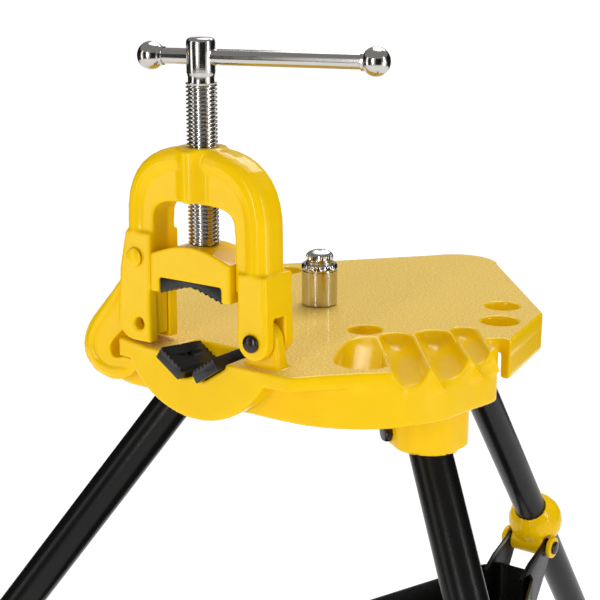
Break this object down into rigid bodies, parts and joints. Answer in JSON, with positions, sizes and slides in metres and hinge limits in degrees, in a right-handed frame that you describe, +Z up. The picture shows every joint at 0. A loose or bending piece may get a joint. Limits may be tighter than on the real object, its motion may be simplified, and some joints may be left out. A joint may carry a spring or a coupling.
{
  "type": "pipe vise tristand",
  "caption": "Cast bench top with a hinged yoke pipe vise, bending grooves and tool holes, on folding tube legs with a brace tray.",
  "frame": {"origin": "on the floor, under the middle of the box round the whole stand", "axes": "+X to the operator's right, along the pipe jaws' opening; +Y away from the operator, along the held pipe; +Z up"},
  "size_m": [1.185, 1.1657, 1.041],
  "materials": {
    "yellow_enamel": "gloss",
    "black_enamel": "gloss",
    "chrome_steel": "polished",
    "jaw_steel": "blackened",
    "pin_steel": "blackened",
    "black_rubber": "matte"
  },
  "bodies": {
    "root": {"base_casting": "yellow_enamel", "lower_jaw_left": "jaw_steel", "lower_jaw_right": "jaw_steel", "yoke_hinge_pin": "pin_steel", "leg_bolt_front_left": "pin_steel", "leg_bolt_front_right": "pin_steel", "leg_bolt_rear": "pin_steel"},
    "yoke": {"yoke": "yellow_enamel", "hook_rivet": "yellow_enamel"},
    "hook": {"hook": "yellow_enamel"},
    "carriage": {"jaw_saddle": "yellow_enamel", "upper_jaw": "jaw_steel"},
    "screw": {"clamp_screw": "chrome_steel"},
    "handle": {"handle_bar": "chrome_steel", "handle_ball_left": "chrome_steel", "handle_ball_right": "chrome_steel"},
    "brace_screw": {"ceiling_screw": "chrome_steel"},
    "leg_front_left": {"leg_front_left": "black_enamel", "collar_front_left": "yellow_enamel", "collar_pin_front_left": "pin_steel", "foot_front_left": "black_rubber"},
    "leg_front_right": {"leg_front_right": "black_enamel", "collar_front_right": "yellow_enamel", "collar_pin_front_right": "pin_steel", "foot_front_right": "black_rubber"},
    "leg_rear": {"leg_rear": "black_enamel", "collar_rear": "yellow_enamel", "collar_pin_rear": "pin_steel", "foot_rear": "black_rubber"},
    "tray": {"brace_tray": "black_enamel"}
  },
  "joints": [
    {"name": "yoke_swing", "type": "hinge", "parent": "root", "child": "yoke", "pos_m": [0.058, -0.37881, 0.8208], "axis": [0, 1, 0], "range_deg": [0, 90]},
    {"name": "hook_swing", "type": "hinge", "parent": "yoke", "child": "hook", "pos_m": [-0.0555, -0.37881, 0.872], "axis": [0, 1, 0], "range_deg": [0, 35]},
    {"name": "jaw_slide", "type": "slide", "parent": "yoke", "child": "carriage", "axis": [0, 0, 1], "range_m": [-0.036, 0.021]},
    {"name": "screw_spin", "type": "hinge", "parent": "carriage", "child": "screw", "pos_m": [0, -0.37881, 1.027], "axis": [0, 0, 1], "range_deg": [-4320, 2520]},
    {"name": "handle_slide", "type": "slide", "parent": "screw", "child": "handle", "axis": [0.9588, 0.284, 0], "range_m": [-0.11, 0.017]},
    {"name": "brace_screw_rise", "type": "slide", "parent": "root", "child": "brace_screw", "axis": [0, 0, 1], "range_m": [0, 0.05]},
    {"name": "leg_fold_front_left", "type": "hinge", "parent": "root", "child": "leg_front_left", "pos_m": [-0.1215, -0.24971, 0.727], "axis": [0.5707, -0.8211, 0], "range_deg": [0, 22]},
    {"name": "leg_fold_front_right", "type": "hinge", "parent": "root", "child": "leg_front_right", "pos_m": [0.1215, -0.24971, 0.727], "axis": [0.5707, 0.8211, 0], "range_deg": [0, 22]},
    {"name": "leg_fold_rear", "type": "hinge", "parent": "root", "child": "leg_rear", "pos_m": [0, 0.01319, 0.727], "axis": [-1, 0, 0], "range_deg": [0, 22]},
    {"name": "tray_level", "type": "hinge", "parent": "leg_rear", "child": "tray", "pos_m": [0, 0.20487, 0.4302], "axis": [1, 0, 0], "range_deg": [0, 22]}
  ],
  "couplings": [
    {"joint": "jaw_slide", "follows": "screw_spin", "m_per_rad": 0.00047746},
    {"joint": "leg_fold_front_left", "follows": "leg_fold_rear", "ratio": 1},
    {"joint": "leg_fold_front_right", "follows": "leg_fold_rear", "ratio": 1},
    {"joint": "tray_level", "follows": "leg_fold_rear", "ratio": 1}
  ]
}
